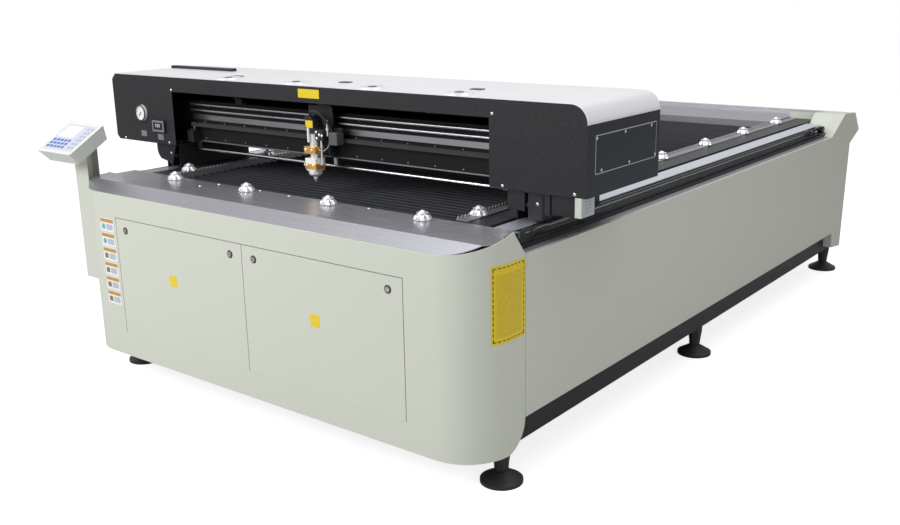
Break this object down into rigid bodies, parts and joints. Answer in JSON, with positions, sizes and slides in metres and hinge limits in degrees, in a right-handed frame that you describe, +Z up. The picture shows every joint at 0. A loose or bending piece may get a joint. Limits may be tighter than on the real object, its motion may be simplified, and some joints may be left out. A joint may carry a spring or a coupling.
{
  "type": "carbon dioxide laser cutting machine",
  "caption": "Flatbed carbon dioxide laser cutter: a long base with a knife table, a gantry that rides along it, a cutting head, front access panels and a control console on a stand.",
  "frame": {"origin": "on the floor under the middle of the machine's bounding box", "axes": "+X to the machine's right as seen from its front, +Y from its front to its rear, +Z up"},
  "size_m": [2.52, 3.785, 1.292],
  "materials": {
    "cream_paint": "satin powder coat",
    "black_frame": "black paint",
    "black_wrinkle": "black wrinkle powder coat",
    "blue_black": "blue-black satin paint",
    "stainless": "brushed",
    "bright_sheet": "satin silver",
    "rail_steel": "ground steel",
    "comb_steel": "grey steel",
    "blade_steel": "blackened steel",
    "ball_chrome": "polished",
    "belt_rubber": "black rubber",
    "motor_black": "black",
    "electronics_grey": "grey",
    "console_plastic": "pale grey",
    "keypad_film": "membrane film",
    "gauge_white": "white dial",
    "needle_black": "black",
    "display_black": "black",
    "beam_aluminium": "black anodised",
    "tube_glass": "clear",
    "lens_brass": "brass",
    "ceramic_white": "glazed ceramic",
    "nozzle_silver": "polished"
  },
  "bodies": {
    "base": {"base_frame": "black_frame", "levelling_feet": "black_frame", "front_shell": "cream_paint", "side_panel_left": "cream_paint", "side_panel_right": "cream_paint", "rear_shell": "cream_paint", "rail_beams": "black_frame", "linear_rails": "rail_steel", "cover_strips": "bright_sheet", "base_belts": "belt_rubber", "base_motor": "motor_black", "side_bands": "black_frame", "comb_strips": "comb_steel", "knife_blades": "blade_steel", "exhaust_tray": "black_frame", "front_plate": "stainless", "rear_plate": "stainless", "ball_transfer_units": "ball_chrome", "cabinet_electronics": "electronics_grey", "control_stand": "cream_paint", "console_box": "console_plastic", "keypad": "keypad_film"},
    "gantry": {"top_cover": "bright_sheet", "end_covers": "blue_black", "front_cover_left": "black_wrinkle", "front_cover_right": "black_wrinkle", "centre_strip": "black_wrinkle", "back_cover": "blue_black", "side_hatch": "blue_black", "vent_grilles": "bright_sheet", "cable_duct": "blue_black", "pressure_gauge": "gauge_white", "display_unit": "display_black", "cross_beam": "beam_aluminium", "cross_rail": "rail_steel", "lower_rod": "rail_steel", "cross_belt": "belt_rubber", "cross_motor": "motor_black", "gantry_saddles": "black_frame", "rail_blocks": "rail_steel", "leg_plates": "black_frame", "end_block": "cream_paint", "laser_tube": "tube_glass", "laser_holders": "black_frame", "beam_mirrors": "beam_aluminium"},
    "gauge_needle": {"gauge_needle": "needle_black"},
    "cross_pulley_left": {"cross_pulley_left": "rail_steel"},
    "cross_pulley_right": {"cross_pulley_right": "rail_steel"},
    "head": {"head_carriage": "motor_black"},
    "lens": {"lens_tube": "lens_brass", "ceramic_ring": "ceramic_white", "nozzle": "nozzle_silver"},
    "panel_left": {"access_panel_left": "cream_paint"},
    "panel_right": {"access_panel_right": "cream_paint"},
    "latch_left_inner": {"latch_left_inner": "ball_chrome"},
    "latch_left_outer": {"latch_left_outer": "ball_chrome"},
    "latch_right_inner": {"latch_right_inner": "ball_chrome"},
    "latch_right_outer": {"latch_right_outer": "ball_chrome"},
    "drive_shaft": {"base_drive_shaft": "rail_steel"},
    "idlers": {"base_idlers": "rail_steel"}
  },
  "joints": [
    {"name": "gantry_travel", "type": "slide", "parent": "base", "child": "gantry", "axis": [0, 1, 0], "range_m": [0, 2.33]},
    {"name": "head_travel", "type": "slide", "parent": "gantry", "child": "head", "axis": [1, 0, 0], "range_m": [-0.64, 0.7]},
    {"name": "head_lift", "type": "slide", "parent": "head", "child": "lens", "axis": [0, 0, 1], "range_m": [-0.025, 0.02]},
    {"name": "panel_left_tilt", "type": "hinge", "parent": "base", "child": "panel_left", "pos_m": [-0.35, -1.8325, 0.2433], "axis": [1, 0, 0], "range_deg": [0, 30]},
    {"name": "panel_right_tilt", "type": "hinge", "parent": "base", "child": "panel_right", "pos_m": [0.43, -1.8325, 0.2433], "axis": [1, 0, 0], "range_deg": [0, 30]},
    {"name": "drive_shaft_turn", "type": "hinge", "parent": "base", "child": "drive_shaft", "pos_m": [0.04, 1.4175, 0.846], "axis": [1, 0, 0], "continuous": true},
    {"name": "idlers_turn", "type": "hinge", "parent": "base", "child": "idlers", "pos_m": [0.04, -1.5165, 0.846], "axis": [1, 0, 0], "continuous": true},
    {"name": "cross_pulley_left_turn", "type": "hinge", "parent": "gantry", "child": "cross_pulley_left", "pos_m": [-0.796, -1.3485, 1.068], "axis": [0, 0, 1], "continuous": true},
    {"name": "cross_pulley_right_turn", "type": "hinge", "parent": "gantry", "child": "cross_pulley_right", "pos_m": [0.843, -1.3485, 1.068], "axis": [0, 0, 1], "continuous": true},
    {"name": "gauge_needle_swing", "type": "hinge", "parent": "gantry", "child": "gauge_needle", "pos_m": [-1.052, -1.4385, 1.111], "axis": [0, 1, 0], "range_deg": [0, 270]},
    {"name": "latch_left_inner_turn", "type": "hinge", "parent": "panel_left", "child": "latch_left_inner", "pos_m": [-0.025, -1.8175, 0.694], "axis": [0, 1, 0], "range_deg": [0, 90]},
    {"name": "latch_left_outer_turn", "type": "hinge", "parent": "panel_left", "child": "latch_left_outer", "pos_m": [-0.675, -1.8175, 0.694], "axis": [0, -1, 0], "range_deg": [0, 90]},
    {"name": "latch_right_inner_turn", "type": "hinge", "parent": "panel_right", "child": "latch_right_inner", "pos_m": [0.105, -1.8175, 0.694], "axis": [0, -1, 0], "range_deg": [0, 90]},
    {"name": "latch_right_outer_turn", "type": "hinge", "parent": "panel_right", "child": "latch_right_outer", "pos_m": [0.755, -1.8175, 0.694], "axis": [0, 1, 0], "range_deg": [0, 90]}
  ],
  "couplings": [
    {"joint": "drive_shaft_turn", "follows": "gantry_travel", "rad_per_m": -56.98},
    {"joint": "idlers_turn", "follows": "gantry_travel", "rad_per_m": -56.98},
    {"joint": "cross_pulley_left_turn", "follows": "head_travel", "rad_per_m": 76.628},
    {"joint": "cross_pulley_right_turn", "follows": "head_travel", "rad_per_m": 76.628}
  ]
}
